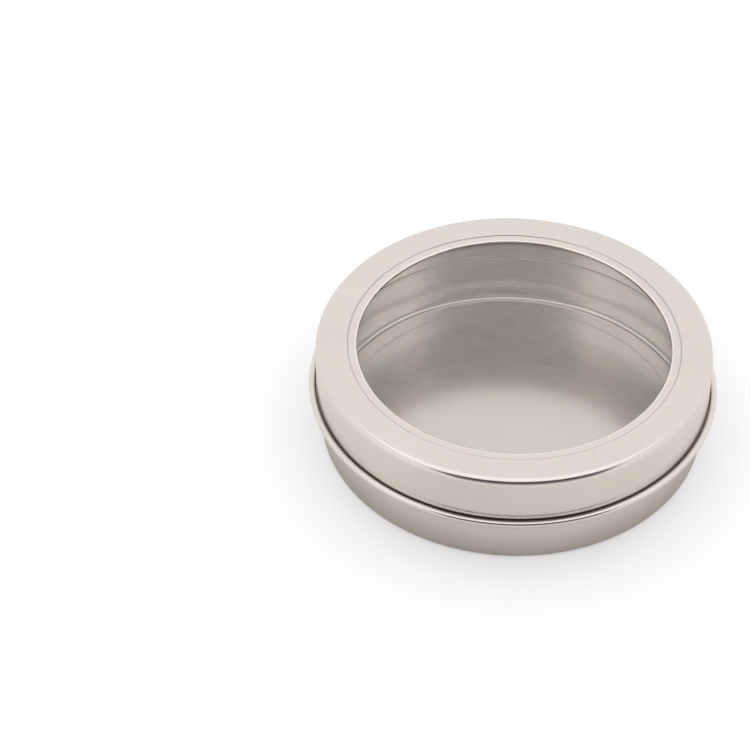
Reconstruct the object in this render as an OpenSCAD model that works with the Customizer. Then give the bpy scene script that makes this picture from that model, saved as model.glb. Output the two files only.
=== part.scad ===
// Round slip-lid tin with a clear window in the lid.
// The origin is the centre of the foot, +Z is up, and the lid is closed at rest.

/* [Sheet metal] */
// Thickness of the tinplate that the base and the lid are drawn from
sheet_t = 0.23; // [0.16:0.01:0.3]

/* [Lid] */
// Outer diameter of the lid
lid_d = 97; // [90:0.5:130]
// Height of the lid, from the foot of its skirt to its top
lid_h = 12.4; // [8:0.1:16]
// Outer radius of the edge between the lid's top and its skirt
lid_edge_r = 1.7; // [0.8:0.1:2.5]
// Outer diameter of the roll at the foot of the skirt
skirt_roll_d = 0.95; // [0.7:0.05:1.3]

/* [Window] */
// Diameter of the opening in the lid
window_d = 77; // [50:0.5:80]
// Width of the folded band around the opening
band_w = 2; // [1.5:0.1:3]
// Depth of the band below the lid's top
band_drop = 0.28; // [0.14:0.02:0.6]
// Inner radius of the bends in the step down to the band
band_bend_r = 0.22; // [0.2:0.02:0.4]
// Gap between the two layers of the band's fold
fold_gap = 0.1; // [0.06:0.02:0.2]
// Thickness of the clear pane
pane_t = 0.25; // [0.15:0.05:0.5]
// Play of the pane between the folds that hold it
pane_play = 0.02; // [0.01:0.01:0.05]
// Width of the lower fold that the pane's rim lies on
grip_w = 1.3; // [0.8:0.1:2]
// Gap between the pane's rim and the bottom of the fold
pane_rim_gap = 0.3; // [0.2:0.05:0.6]

/* [Base] */
// Height of the closed tin
closed_h = 26.8; // [20:0.1:60]
// Outer radius of the corner between the foot and the wall
corner_r = 1.6; // [0.8:0.1:3]
// Outer diameter of the roll at the rim of the neck
rim_roll_d = 1; // [0.7:0.05:1.4]
// Width of the flat foot ring
foot_w = 3.2; // [1.5:0.1:8]
// Height of the raised panel inside the foot ring
panel_rise = 0.6; // [0.3:0.05:1.2]
// Inner radius of the bends in the step up to the panel
panel_bend_r = 0.6; // [0.5:0.05:1.2]

/* [Bead] */
// How far the bead under the lid stands out of the wall
bead_reach = 3.1; // [2.4:0.1:4]
// Outer diameter of the bead's round edge
bead_d = 1.72; // [1.2:0.02:2.2]
// Height of the slot inside the bead
bead_slot = 0.3; // [0.1:0.05:0.5]
// Radius of the bends where the bead leaves the wall
bead_bend_r = 0.3; // [0.1:0.05:0.5]

/* [Fit] */
// Gap between the roll of the skirt and the neck
neck_gap = 0.35; // [0.2:0.05:0.8]
// Gap between the rim of the neck and the underside of the lid
seat_gap = 0.1; // [0.05:0.05:0.3]
// Gap between the roll of the skirt and the bead
skirt_gap = 0.17; // [0.1:0.01:0.4]

/* [Hidden] */
$fn = 180;

// Straight steps that make up a bend of a jog, and the lap of the jog's ends on the flat sheet
bend_steps = 8;
lap = 0.05;

// Lid and window, radii and heights
lid_r = lid_d / 2;
lid_top = closed_h;
skirt_foot = lid_top - lid_h;
skirt_roll_r = skirt_roll_d / 2;
window_r = window_d / 2;
band_top = lid_top - band_drop;
band_foot = window_r + band_w;
step_w = jog_width(band_drop, band_bend_r);
nose_r = sheet_t + fold_gap / 2;
nose_c = window_r + nose_r;
hem_low = band_top - 2 * nose_r;
grip_r = (pane_t + pane_play) / 2;
grip_z = hem_low - grip_r;
grip_lip = window_r + nose_r;
grip_c = grip_lip + grip_w;
pane_r = grip_c + grip_r - pane_rim_gap;
pane_low = grip_z - grip_r;

// Base, radii and heights
wall_r = lid_r - skirt_roll_d - neck_gap;
rim_roll_r = rim_roll_d / 2;
rim_top = lid_top - sheet_t - seat_gap;
bead_r = bead_d / 2;
bead_c = wall_r + bead_reach - bead_r;
bead_half = bead_slot / 2 + sheet_t;
bead_z = skirt_foot - skirt_gap - bead_half;
panel_step_w = jog_width(panel_rise, panel_bend_r);
foot_in = wall_r - corner_r - foot_w;
panel_r = foot_in - panel_step_w;

// Angle and width of a step in the sheet, made of two opposite bends of one inner radius
function jog_angle(drop, bend_r) = acos(1 - drop / (2 * bend_r + sheet_t));
function jog_width(drop, bend_r) = (2 * bend_r + sheet_t) * sin(jog_angle(drop, bend_r));

// Part of a ring about the origin, between two angles
module ring_arc(r_in, r_out, from, to) {
    wedge_steps = 6;
    intersection() {
        difference() {
            circle(r_out);
            circle(r_in);
        }
        polygon([[0, 0], for (i = [0 : wedge_steps])
            let (a = from + (to - from) * i / wedge_steps) 2 * r_out * [cos(a), sin(a)]]);
    }
}

// Sheet that lies flat, between two radii, with its top at a height
module flat_sheet(r_in, r_out, top) {
    translate([r_in, top - sheet_t]) square([r_out - r_in, sheet_t]);
}

// Sheet that stands upright, between two heights, with its outer face at a radius
module upright_sheet(r_face, low, high) {
    translate([r_face - sheet_t, low]) square([sheet_t, high - low]);
}

// Bend of the sheet about a centre
module bend(r, z, inner_r, from, to) {
    translate([r, z]) ring_arc(inner_r, inner_r + sheet_t, from, to);
}

// Points of an arc about a centre, between two angles
function arc_points(c, r, from, to) =
    [for (i = [0 : bend_steps]) let (a = from + (to - from) * i / bend_steps) c + r * [cos(a), sin(a)]];

// Outline of a step down in the sheet that runs outwards from the axis, with its high end at zero
function jog_points(top, drop, bend_r) =
    let (a = jog_angle(drop, bend_r), w = jog_width(drop, bend_r), outer_r = bend_r + sheet_t,
        high_c = [0, top - outer_r], low_c = [w, top - drop + bend_r])
    concat([[-lap, top - sheet_t]],
        arc_points(high_c, bend_r, 90, 90 - a),
        arc_points(low_c, outer_r, 270 - a, 270),
        [[w + lap, top - drop - sheet_t], [w + lap, top - drop]],
        arc_points(low_c, bend_r, 270, 270 - a),
        arc_points(high_c, outer_r, 90 - a, 90),
        [[-lap, top]]);

// Step down in the sheet from a radius and a height, inwards with side -1 or outwards with 1.
// The points keep one sense of turn on either side.
module jog(r, top, drop, bend_r, side) {
    points = jog_points(top, drop, bend_r);
    last = len(points) - 1;
    polygon([for (i = [0 : last]) let (p = points[side > 0 ? i : last - i]) [r + side * p.x, p.y]]);
}

// Outline of the base's round bead, with the slot that the sheet is folded about
module bead_outline() {
    flange = bead_c - wall_r - bead_bend_r;
    difference() {
        translate([bead_c, bead_z]) {
            circle(bead_r);
            translate([-flange, -bead_half]) square([flange, 2 * bead_half]);
        }
        translate([bead_c, bead_z]) {
            circle(bead_r - sheet_t);
            translate([-2 * flange, -bead_slot / 2]) square([2 * flange, bead_slot]);
        }
    }
    for (side = [0, 1])
        translate([0, bead_z]) mirror([0, side])
            bend(wall_r + bead_bend_r, -bead_half - bead_bend_r, bead_bend_r, 90, 180);
}

module tin_base() {
    color([0.78, 0.76, 0.74]) rotate_extrude() {
        flat_sheet(0, panel_r, panel_rise + sheet_t);
        jog(panel_r, panel_rise + sheet_t, panel_rise, panel_bend_r, 1);
        flat_sheet(foot_in, wall_r - corner_r, sheet_t);
        bend(wall_r - corner_r, corner_r, corner_r - sheet_t, 270, 360);
        upright_sheet(wall_r, corner_r, bead_z - bead_half - bead_bend_r);
        bead_outline();
        upright_sheet(wall_r, bead_z + bead_half + bead_bend_r, rim_top - rim_roll_r);
        bend(wall_r - rim_roll_r, rim_top - rim_roll_r, rim_roll_r - sheet_t, 0, 255);
    }
}

module lid_ring() {
    color([0.82, 0.8, 0.79]) rotate_extrude() {
        bend(lid_r - skirt_roll_r, skirt_foot + skirt_roll_r, skirt_roll_r - sheet_t, 105, 360);
        upright_sheet(lid_r, skirt_foot + skirt_roll_r, lid_top - lid_edge_r);
        bend(lid_r - lid_edge_r, lid_top - lid_edge_r, lid_edge_r - sheet_t, 0, 90);
        flat_sheet(band_foot + step_w, lid_r - lid_edge_r, lid_top);
        jog(band_foot + step_w, lid_top, band_drop, band_bend_r, -1);
        flat_sheet(nose_c, band_foot, band_top);
        bend(nose_c, band_top - nose_r, nose_r - sheet_t, 90, 270);
        flat_sheet(nose_c, grip_c, hem_low + sheet_t);
        bend(grip_c, grip_z, grip_r, -90, 90);
        flat_sheet(grip_lip, grip_c, pane_low);
    }
}

module window_pane() {
    color([0.9, 0.93, 0.95, 0.4]) translate([0, 0, pane_low]) cylinder(r = pane_r, h = pane_t);
}

tin_base();
lid_ring();
window_pane();
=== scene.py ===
import math

import bpy
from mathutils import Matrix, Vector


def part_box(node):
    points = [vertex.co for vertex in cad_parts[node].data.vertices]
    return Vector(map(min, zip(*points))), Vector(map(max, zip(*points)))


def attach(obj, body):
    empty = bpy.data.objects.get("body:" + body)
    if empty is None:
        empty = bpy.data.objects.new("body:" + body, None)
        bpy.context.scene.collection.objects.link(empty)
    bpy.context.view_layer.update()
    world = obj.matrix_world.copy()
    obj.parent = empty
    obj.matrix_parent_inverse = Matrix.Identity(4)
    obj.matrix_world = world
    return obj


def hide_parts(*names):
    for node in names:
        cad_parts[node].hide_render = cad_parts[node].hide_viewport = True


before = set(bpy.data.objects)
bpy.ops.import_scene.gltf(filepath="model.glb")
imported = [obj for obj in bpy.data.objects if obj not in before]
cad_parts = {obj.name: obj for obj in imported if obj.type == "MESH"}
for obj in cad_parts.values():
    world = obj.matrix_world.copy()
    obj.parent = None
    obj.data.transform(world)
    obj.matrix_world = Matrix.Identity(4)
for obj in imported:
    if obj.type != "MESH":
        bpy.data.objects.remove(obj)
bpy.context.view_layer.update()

# Lengths are in millimetres up to the mesh, which is in metres
MM = 0.001

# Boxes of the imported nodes, which give the sizes that the profiles start from
base_low, base_high = (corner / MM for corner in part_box("tin_base"))
lid_low, lid_high = (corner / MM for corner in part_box("lid_ring"))
pane_low, pane_high = (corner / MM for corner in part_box("window_pane"))

# Sheet metal
SHEET_T = 0.23

# Lid
LID_R = (lid_high.x - lid_low.x) / 2
LID_TOP = lid_high.z
SKIRT_FOOT = lid_low.z
LID_EDGE_R = 1.7
SKIRT_ROLL_R = 0.475
SKIRT_ROLL_FROM = 105

# Window
WINDOW_R = 38.5
BAND_W = 2.0
BAND_DROP = 0.28
BAND_BEND_R = 0.22
FOLD_GAP = 0.1
GRIP_W = 1.3
PANE_R = (pane_high.x - pane_low.x) / 2
PANE_PLAY = 0.02
PANE_RINGS = 24

# Bow of the pane: its height, and how much and where it is higher one way than the other
PANE_BOW = 0.12
BOW_TWIST = 0.4
BOW_TURN = 0.7

# Base
BEAD_OUT_R = min(-base_low.x, base_high.x, -base_low.y, base_high.y)
RIM_TOP = base_high.z
WALL_R = 47.2
CORNER_R = 1.6
FOOT_W = 3.2
PANEL_RISE = 0.6
PANEL_BEND_R = 0.6
RIM_ROLL_R = 0.5
RIM_ROLL_TURN = 255

# Bead of the base
BEAD_R = 0.86
BEAD_SLOT = 0.3
BEAD_BEND_R = 0.3
BEAD_BLEND_R = 0.3
SKIRT_GAP = 0.17

# Meshes: steps round the axis, degrees per step of a bend, longest step of a straight run,
# distance of the close points at its ends, and the edge angle from which shading is sharp
SEGMENTS = 240
ARC_STEP = 7.5
LONGEST_STEP = 4.0
SUPPORT = 0.05
SHARP_FROM = 40
ON_AXIS = 1e-6

# Metal: colours, roughness, and the share that its cloudy places are darker
BASE_COLOR = (0.775, 0.725, 0.685)
BASE_ROUGHNESS = 0.2
LID_COLOR = (0.775, 0.715, 0.68)
LID_ROUGHNESS = 0.19
HAZE = 0.1

# Painted light in the metal, as rings of colour: distance from a named radius, half width, and factor on
# the colour
# Painted shade in the groove between the lid's rolled foot and the bead
GROOVE_PAINTED_SHADE = (0.3, 0.9, 0.38)
# Painted shade in the crease of the step round the window
CREASE_PAINTED_SHADE = (0.2, 0.35, 0.7)
# Painted highlight on the window's rolled nose
NOSE_PAINTED_HIGHLIGHT = (0.15, 0.45, 1.22)

# Floor: plain tone, the warmer tone that metal sees in reflections, which gets painted shade near the
# tin, and the glow that makes it look white
FLOOR_TONE = (0.8, 0.8, 0.8)
FLOOR_IN_METAL = (0.94, 0.92, 0.87)
FLOOR_GLOW = 0.27

# Cards: width and height in metres, distance, azimuth, elevation and strength
CARDS = {
    "dark_side": ((1.25, 0.4), 0.75, 6, 40, 0.05),
    "dim_side": ((1.15, 0.3), 0.76, 6, 14, 0.4),
    "soft_top": ((1.2, 0.75), 0.8, 0, 86, 1.27),
}
CARD_COLOR = (1, 0.985, 0.97)

# Camera, from the photograph's rims: place in metres, angle below the horizon, and lens
CAMERA_PLACE = (-0.03397, -0.5081, 0.48626)
CAMERA_PITCH = 42.793
CAMERA_LENS = 134.73
SENSOR = 36.0


class Sheet:
    """Follows the middle of a bent sheet, and keeps each point with the sheet's direction there."""

    def __init__(self, r, z, heading):
        self.r, self.z, self.heading = r, z, math.radians(heading)
        self.points = [(self.r, self.z, self.heading)]

    def go(self, length):
        """A straight run, with close points at its ends so that its shading stays flat."""
        if length <= 0:
            return
        lead = min(SUPPORT, length / 4)
        inner = max(1, math.ceil((length - 2 * lead) / LONGEST_STEP))
        steps = [lead + (length - 2 * lead) * i / inner for i in range(inner + 1)] + [length]
        start = self.r, self.z
        for step in steps:
            self.r = start[0] + step * math.cos(self.heading)
            self.z = start[1] + step * math.sin(self.heading)
            self.points.append((self.r, self.z, self.heading))

    def turn(self, angle, radius):
        """A bend of the middle line, to the left where the angle is positive."""
        side = 1 if angle > 0 else -1
        centre_r = self.r - side * radius * math.sin(self.heading)
        centre_z = self.z + side * radius * math.cos(self.heading)
        count = max(2, math.ceil(abs(angle) / ARC_STEP))
        first = self.heading
        for i in range(1, count + 1):
            self.heading = first + math.radians(angle) * i / count
            self.r = centre_r + side * radius * math.sin(self.heading)
            self.z = centre_z - side * radius * math.cos(self.heading)
            self.points.append((self.r, self.z, self.heading))

    def face(self, side):
        """Points of one face of the sheet."""
        offset = side * SHEET_T / 2
        return [
            (max(0.0, r - offset * math.sin(a)), z + offset * math.cos(a)) for r, z, a in self.points
        ]

    def outline(self):
        """Right face forwards, then left face back."""
        return self.face(-1) + self.face(1)[::-1]


def jog_angle(drop, bend_r):
    """Angle of a step in the sheet that is made of two opposite bends."""
    return math.degrees(math.acos(1 - drop / (2 * bend_r + SHEET_T)))


def jog_width(drop, bend_r):
    """Width of that step."""
    return (2 * bend_r + SHEET_T) * math.sin(math.radians(jog_angle(drop, bend_r)))


def link(name, mesh):
    """A new object in the scene."""
    thing = bpy.data.objects.new(name, mesh)
    bpy.context.scene.collection.objects.link(thing)
    return thing


def turned(outline):
    """Points and faces of an outline of (radius, height) that is turned about the Z axis.
    An outline that starts and ends on the axis is closed there by two poles."""
    poles = outline[0][0] < ON_AXIS and outline[-1][0] < ON_AXIS
    rings = outline[1:-1] if poles else outline
    count = len(rings)
    angles = [2 * math.pi * i / SEGMENTS for i in range(SEGMENTS)]
    verts = [(r * math.cos(a), r * math.sin(a), z) for r, z in rings for a in angles]
    steps = [(i, (i + 1) % SEGMENTS) for i in range(SEGMENTS)]
    faces = []
    for k in range(count - 1 if poles else count):
        here, there = k * SEGMENTS, (k + 1) % count * SEGMENTS
        faces += [(here + i, here + j, there + j, there + i) for i, j in steps]
    if poles:
        first, last, end = len(verts), len(verts) + 1, (count - 1) * SEGMENTS
        verts += [(0, 0, outline[0][1]), (0, 0, outline[-1][1])]
        faces += [(first, j, i) for i, j in steps]
        faces += [(last, end + i, end + j) for i, j in steps]
    return verts, faces


def revolve(name, outline, shape=None):
    """A smooth closed piece from an outline, with its points moved by a shape."""
    verts, faces = turned(outline)
    if shape:
        verts = [shape(x, y, z) for x, y, z in verts]
    mesh = bpy.data.meshes.new(name)
    mesh.from_pydata([(x * MM, y * MM, z * MM) for x, y, z in verts], [], faces)
    mesh.validate()
    mesh.shade_smooth()
    mesh.set_sharp_from_angle(angle=math.radians(SHARP_FROM))
    return link(name, mesh)


def base_profile():
    """The pan: panel, foot, corner, wall, bead, neck and rolled rim."""
    half = SHEET_T / 2
    step_angle = jog_angle(PANEL_RISE, PANEL_BEND_R)
    panel_r = WALL_R - CORNER_R - FOOT_W - jog_width(PANEL_RISE, PANEL_BEND_R)
    bead_half = BEAD_SLOT / 2 + SHEET_T
    bead_z = SKIRT_FOOT - SKIRT_GAP - bead_half
    ring_r = BEAD_R - half
    blend_up = BEAD_SLOT / 2 + half + BEAD_BLEND_R
    blend_far = ring_r + BEAD_BLEND_R
    blend_angle = math.degrees(math.acos(blend_up / blend_far))
    blend_out = math.sqrt(blend_far**2 - blend_up**2)
    flange_w = BEAD_OUT_R - BEAD_R - blend_out - WALL_R - BEAD_BEND_R
    sheet = Sheet(0, PANEL_RISE + half, 0)
    sheet.go(panel_r)
    sheet.turn(-step_angle, PANEL_BEND_R + half)
    sheet.turn(step_angle, PANEL_BEND_R + half)
    sheet.go(FOOT_W)
    sheet.turn(90, CORNER_R - half)
    sheet.go(bead_z - bead_half - BEAD_BEND_R - CORNER_R)
    sheet.turn(-90, BEAD_BEND_R + half)
    sheet.go(flange_w)
    sheet.turn(-blend_angle, BEAD_BLEND_R)
    sheet.turn(180 + 2 * blend_angle, ring_r)
    sheet.turn(-blend_angle, BEAD_BLEND_R)
    sheet.go(flange_w)
    sheet.turn(-90, BEAD_BEND_R + half)
    sheet.go(RIM_TOP - RIM_ROLL_R - bead_z - bead_half - BEAD_BEND_R)
    sheet.turn(RIM_ROLL_TURN, RIM_ROLL_R - half)
    return sheet.outline()


def lid_profile():
    """The lid: rolled foot, skirt, edge, ring, step, folded band and the grip under the pane."""
    half = SHEET_T / 2
    roll_from = math.radians(SKIRT_ROLL_FROM)
    roll_r = SKIRT_ROLL_R - half
    step_angle = jog_angle(BAND_DROP, BAND_BEND_R)
    band_foot = WINDOW_R + BAND_W
    nose_r = SHEET_T + FOLD_GAP / 2
    pane_t = pane_high.z - pane_low.z
    sheet = Sheet(
        LID_R - SKIRT_ROLL_R + roll_r * math.cos(roll_from),
        SKIRT_FOOT + SKIRT_ROLL_R + roll_r * math.sin(roll_from),
        SKIRT_ROLL_FROM + 90,
    )
    sheet.turn(360 - SKIRT_ROLL_FROM, roll_r)
    sheet.go(LID_TOP - LID_EDGE_R - SKIRT_FOOT - SKIRT_ROLL_R)
    sheet.turn(90, LID_EDGE_R - half)
    sheet.go(LID_R - LID_EDGE_R - band_foot - jog_width(BAND_DROP, BAND_BEND_R))
    sheet.turn(step_angle, BAND_BEND_R + half)
    sheet.turn(-step_angle, BAND_BEND_R + half)
    sheet.go(band_foot - WINDOW_R - nose_r)
    sheet.turn(180, nose_r - half)
    sheet.go(GRIP_W)
    sheet.turn(-180, (pane_t + PANE_PLAY) / 2 + half)
    sheet.go(GRIP_W)
    return sheet.outline()


def pane_profile():
    """The pane: a thin disc with a softened rim."""
    low, high = pane_low.z, pane_high.z
    soft = (high - low) / 4
    rings = [PANE_R * i / PANE_RINGS for i in range(PANE_RINGS)] + [PANE_R - soft]
    under = [(r, low) for r in rings] + [(PANE_R, low + soft)]
    over = [(r, high) for r in rings] + [(PANE_R, high - soft)]
    return under + over[::-1]


def bowed(x, y, z):
    """The film of the pane bows a little, and more one way than the other."""
    share = min(1.0, math.hypot(x, y) / WINDOW_R)
    twist = BOW_TWIST * share * math.cos(2 * math.atan2(y, x) + BOW_TURN)
    return x, y, z + PANE_BOW * (1 - share * share) ** 2 * (1 + twist)


def shader_nodes(name):
    """A new material, its node tree, and a function that adds a node with set inputs."""
    material = bpy.data.materials.new(name)
    material.use_nodes = True
    tree = material.node_tree
    tree.nodes.clear()

    def add(kind, inputs=None, **settings):
        node = tree.nodes.new(kind)
        for key, value in settings.items():
            setattr(node, key, value)
        for key, value in (inputs or {}).items():
            if isinstance(value, bpy.types.NodeSocket):
                tree.links.new(value, node.inputs[key])
            else:
                node.inputs[key].default_value = value
        return node

    return material, add


def noise(add, place, scale, detail, stretch=(1, 1, 1)):
    """Noise in object space, from 0 to 1, finer along the axes that are stretched more."""
    mapping = add("ShaderNodeMapping", {"Vector": place, "Scale": stretch})
    texture = add("ShaderNodeTexNoise", {"Vector": mapping.outputs[0], "Scale": scale, "Detail": detail})
    return texture.outputs["Fac"]


def ranged(add, value, source, target, **settings):
    """Maps one range of values onto another, and holds it at the ends."""
    inputs = {
        "Value": value,
        "From Min": source[0],
        "From Max": source[1],
        "To Min": target[0],
        "To Max": target[1],
    }
    return add("ShaderNodeMapRange", inputs, **settings).outputs[0]


def spread(add, value, low, high):
    """Maps the middle of a noise onto a range."""
    return ranged(add, value, (0.3, 0.7), (low, high))


def calc(add, operation, *values):
    """One step of arithmetic on numbers."""
    return add("ShaderNodeMath", dict(enumerate(values)), operation=operation).outputs[0]


def mean(add, first, second):
    """The mean of two noises."""
    return calc(add, "MULTIPLY", calc(add, "ADD", first, second), 0.5)


def finish_material(material, add, shader):
    """Joins the last shader to the output."""
    add("ShaderNodeOutputMaterial", {"Surface": shader.outputs[0]})
    return material


def with_painted_light(add, tone, place, painted_rings):
    """A colour with painted shade and painted highlights as rings at some radii. Each ring is a radius,
    a half width and a factor.
    """
    flat = add("ShaderNodeVectorMath", {0: place, 1: (1, 1, 0)}, operation="MULTIPLY").outputs[0]
    radius = add("ShaderNodeVectorMath", {0: flat}, operation="LENGTH").outputs["Value"]
    for middle, half_width, factor in painted_rings:
        away = calc(add, "ABSOLUTE", calc(add, "SUBTRACT", radius, middle * MM))
        reach = (0, half_width * MM)
        gain = ranged(add, away, reach, (factor, 1), interpolation_type="SMOOTHSTEP")
        tone = add("ShaderNodeVectorMath", {0: tone, "Scale": gain}, operation="SCALE").outputs[0]
    return tone


def tinplate(name, color, roughness, painted_rings):
    """Satin tinplate: rolled grain along X, faint drawing streaks up the walls, and a cloudy sheen.
    The painted rings are painted shade in a groove or crease, and a painted highlight on a rolled edge."""
    material, add = shader_nodes(name)
    place = add("ShaderNodeTexCoord").outputs["Object"]
    grain = noise(add, place, 60, 3, (1, 34, 34))
    streaks = noise(add, place, 50, 3, (18, 18, 1))
    cloud = noise(add, place, 45, 2)
    fine = noise(add, place, 900, 2, (1, 5, 5))
    tint = add(
        "ShaderNodeMix",
        {
            "Factor": spread(add, mean(add, cloud, fine), 0, 1),
            "A": (*[c * (1 - HAZE) for c in color], 1),
            "B": (*color, 1),
        },
        data_type="RGBA",
    )
    relief = calc(add, "ADD", calc(add, "ADD", grain, streaks), fine)
    bump = add("ShaderNodeBump", {"Strength": 0.2, "Distance": 0.00002, "Height": relief})
    # The base colour carries the rings of painted shade and painted highlight
    shader = add(
        "ShaderNodeBsdfPrincipled",
        {
            "Base Color": with_painted_light(add, tint.outputs["Result"], place, painted_rings),
            "Metallic": 1.0,
            "Roughness": spread(add, mean(add, cloud, grain), roughness - 0.02, roughness + 0.03),
            "Normal": bump.outputs[0],
        },
    )
    return finish_material(material, add, shader)


def clear_film(name):
    """Clear plastic film: see-through, with a reflection that grows at a low angle and a faint haze."""
    material, add = shader_nodes(name)
    place = add("ShaderNodeTexCoord").outputs["Object"]
    scuffs = noise(add, place, 260, 4, (1, 3, 1))
    waves = noise(add, place, 38, 1, (1, 1.6, 1))
    facing = add("ShaderNodeLayerWeight", {"Blend": 0.5}).outputs["Facing"]
    shine = calc(add, "MULTIPLY_ADD", calc(add, "POWER", facing, 5.0), 0.95, 0.05)
    through = add("ShaderNodeBsdfTransparent", {"Color": (0.985, 0.98, 0.975, 1)})
    veil = add("ShaderNodeBsdfDiffuse", {"Color": (0.92, 0.87, 0.85, 1)})
    hazy = add(
        "ShaderNodeMixShader",
        {"Fac": spread(add, scuffs, 0.06, 0.1), 1: through.outputs[0], 2: veil.outputs[0]},
    )
    bump = add("ShaderNodeBump", {"Strength": 0.25, "Distance": 0.0004, "Height": waves})
    gloss = add(
        "ShaderNodeBsdfGlossy",
        {"Color": (1, 1, 1, 1), "Roughness": spread(add, scuffs, 0.02, 0.07), "Normal": bump.outputs[0]},
    )
    film = add("ShaderNodeMixShader", {"Fac": shine, 1: hazy.outputs[0], 2: gloss.outputs[0]})
    return finish_material(material, add, film)


def pale_floor(name):
    """Matt floor that looks white. Metal sees a warmer copy of it, with painted shade near the tin and
    in front of it.
    """
    material, add = shader_nodes(name)
    path = add("ShaderNodeLightPath")
    place = add("ShaderNodeTexCoord").outputs["Object"]
    near = add("ShaderNodeVectorMath", {0: place}, operation="LENGTH").outputs["Value"]
    front = add("ShaderNodeVectorMath", {0: place, 1: (-0.02, -0.09, 0)}, operation="DISTANCE")
    # Painted shade on the floor that only reflections in metal show: darker close to the tin and in
    # front of it
    painted_contact_shade = ranged(add, near, (0.048, 0.056), (0.76, 1.04))
    painted_front_shade = ranged(add, front.outputs["Value"], (0.02, 0.11), (0.86, 1))
    painted_shade_scale = {0: FLOOR_IN_METAL, "Scale": calc(add, "MULTIPLY", painted_contact_shade, painted_front_shade)}
    floor_with_painted_shade = add("ShaderNodeVectorMath", painted_shade_scale, operation="SCALE").outputs[0]
    color = add(
        "ShaderNodeMix",
        {"Factor": path.outputs["Is Glossy Ray"], "A": (*FLOOR_TONE, 1), "B": floor_with_painted_shade},
        data_type="RGBA",
    )
    matt = add("ShaderNodeBsdfDiffuse", {"Color": color.outputs["Result"]})
    lift = calc(add, "MULTIPLY", path.outputs["Is Camera Ray"], FLOOR_GLOW)
    glow = add("ShaderNodeEmission", {"Color": (1, 1, 1, 1), "Strength": lift})
    both = add("ShaderNodeAddShader", {0: matt.outputs[0], 1: glow.outputs[0]})
    return finish_material(material, add, both)


def glowing(name, strength):
    """The light of a card."""
    material, add = shader_nodes(name)
    shader = add("ShaderNodeEmission", {"Color": (*CARD_COLOR, 1), "Strength": strength})
    return finish_material(material, add, shader)


def dress(piece, material, body, node):
    """Gives a piece its material, body and slot, in place of its CAD node."""
    piece.data.materials.append(material)
    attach(piece, body)
    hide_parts(node)


def plain_plane(name, size, place, material):
    """A plane for the stage."""
    mesh = bpy.data.meshes.new(name)
    w, h = size[0] / 2, size[1] / 2
    mesh.from_pydata([(-w, -h, 0), (w, -h, 0), (w, h, 0), (-w, h, 0)], [], [(0, 1, 2, 3)])
    mesh.materials.append(material)
    plane = link(name, mesh)
    plane.location = place
    return plane


def reflection_card(name, size, distance, azimuth, elevation, strength):
    """A card that only reflections show. Azimuth 0 is on the camera's side, and it faces the tin."""
    a, e = math.radians(azimuth), math.radians(elevation)
    place = (
        distance * math.sin(a) * math.cos(e),
        -distance * math.cos(a) * math.cos(e),
        distance * math.sin(e),
    )
    card = plain_plane(name, size, place, glowing(name + "_light", strength))
    card.rotation_euler = (math.radians(90 - elevation), 0, a)
    card.visible_camera = False
    card.visible_diffuse = False
    card.visible_transmission = False
    card.visible_shadow = False


def build_stage():
    """Pale floor, white surroundings, dark cards on the camera's side and a bright one overhead."""
    plain_plane("floor", (6, 6), (0, 0, 0), pale_floor("floor_matt"))
    for name, settings in CARDS.items():
        reflection_card(name, *settings)
    world = bpy.data.worlds.new("surroundings")
    bpy.context.scene.world = world
    world.use_nodes = True
    background = world.node_tree.nodes["Background"]
    background.inputs["Color"].default_value = (1, 1, 1, 1)
    background.inputs["Strength"].default_value = 1.0


def build_camera():
    """The photograph's view of the closed tin."""
    camera = link("camera", bpy.data.cameras.new("camera"))
    camera.location = CAMERA_PLACE
    camera.rotation_euler = (math.radians(90 - CAMERA_PITCH), 0, 0)
    camera.data.lens = CAMERA_LENS
    camera.data.sensor_width = SENSOR
    bpy.context.scene.camera = camera


def painted_ring_at(radius, painted_ring):
    """A ring of painted shade or painted highlight in the metal, placed from a radius of the shape."""
    beside, half_width, factor = painted_ring
    return radius + beside, half_width, factor


def build_tin():
    """The three pieces."""
    # Rings of painted shade in the groove and the crease, and of painted highlight on the window's nose
    groove_shade = painted_ring_at((WALL_R + BEAD_OUT_R) / 2 - BEAD_R, GROOVE_PAINTED_SHADE)
    crease_shade = painted_ring_at(WINDOW_R + BAND_W, CREASE_PAINTED_SHADE)
    nose_highlight = painted_ring_at(WINDOW_R, NOSE_PAINTED_HIGHLIGHT)
    base_metal = tinplate("base_metal", BASE_COLOR, BASE_ROUGHNESS, [groove_shade])
    lid_metal = tinplate("lid_metal", LID_COLOR, LID_ROUGHNESS, [crease_shade, nose_highlight])
    base_pan = revolve("base_pan", base_profile())
    lid_frame = revolve("lid_frame", lid_profile())
    pane_film = revolve("pane_film", pane_profile(), bowed)
    dress(base_pan, base_metal, "base", "tin_base")
    dress(lid_frame, lid_metal, "lid", "lid_ring")
    dress(pane_film, clear_film("pane_clear"), "lid", "window_pane")


build_camera()
build_stage()
build_tin()
bpy.context.scene.view_settings.view_transform = "Standard"
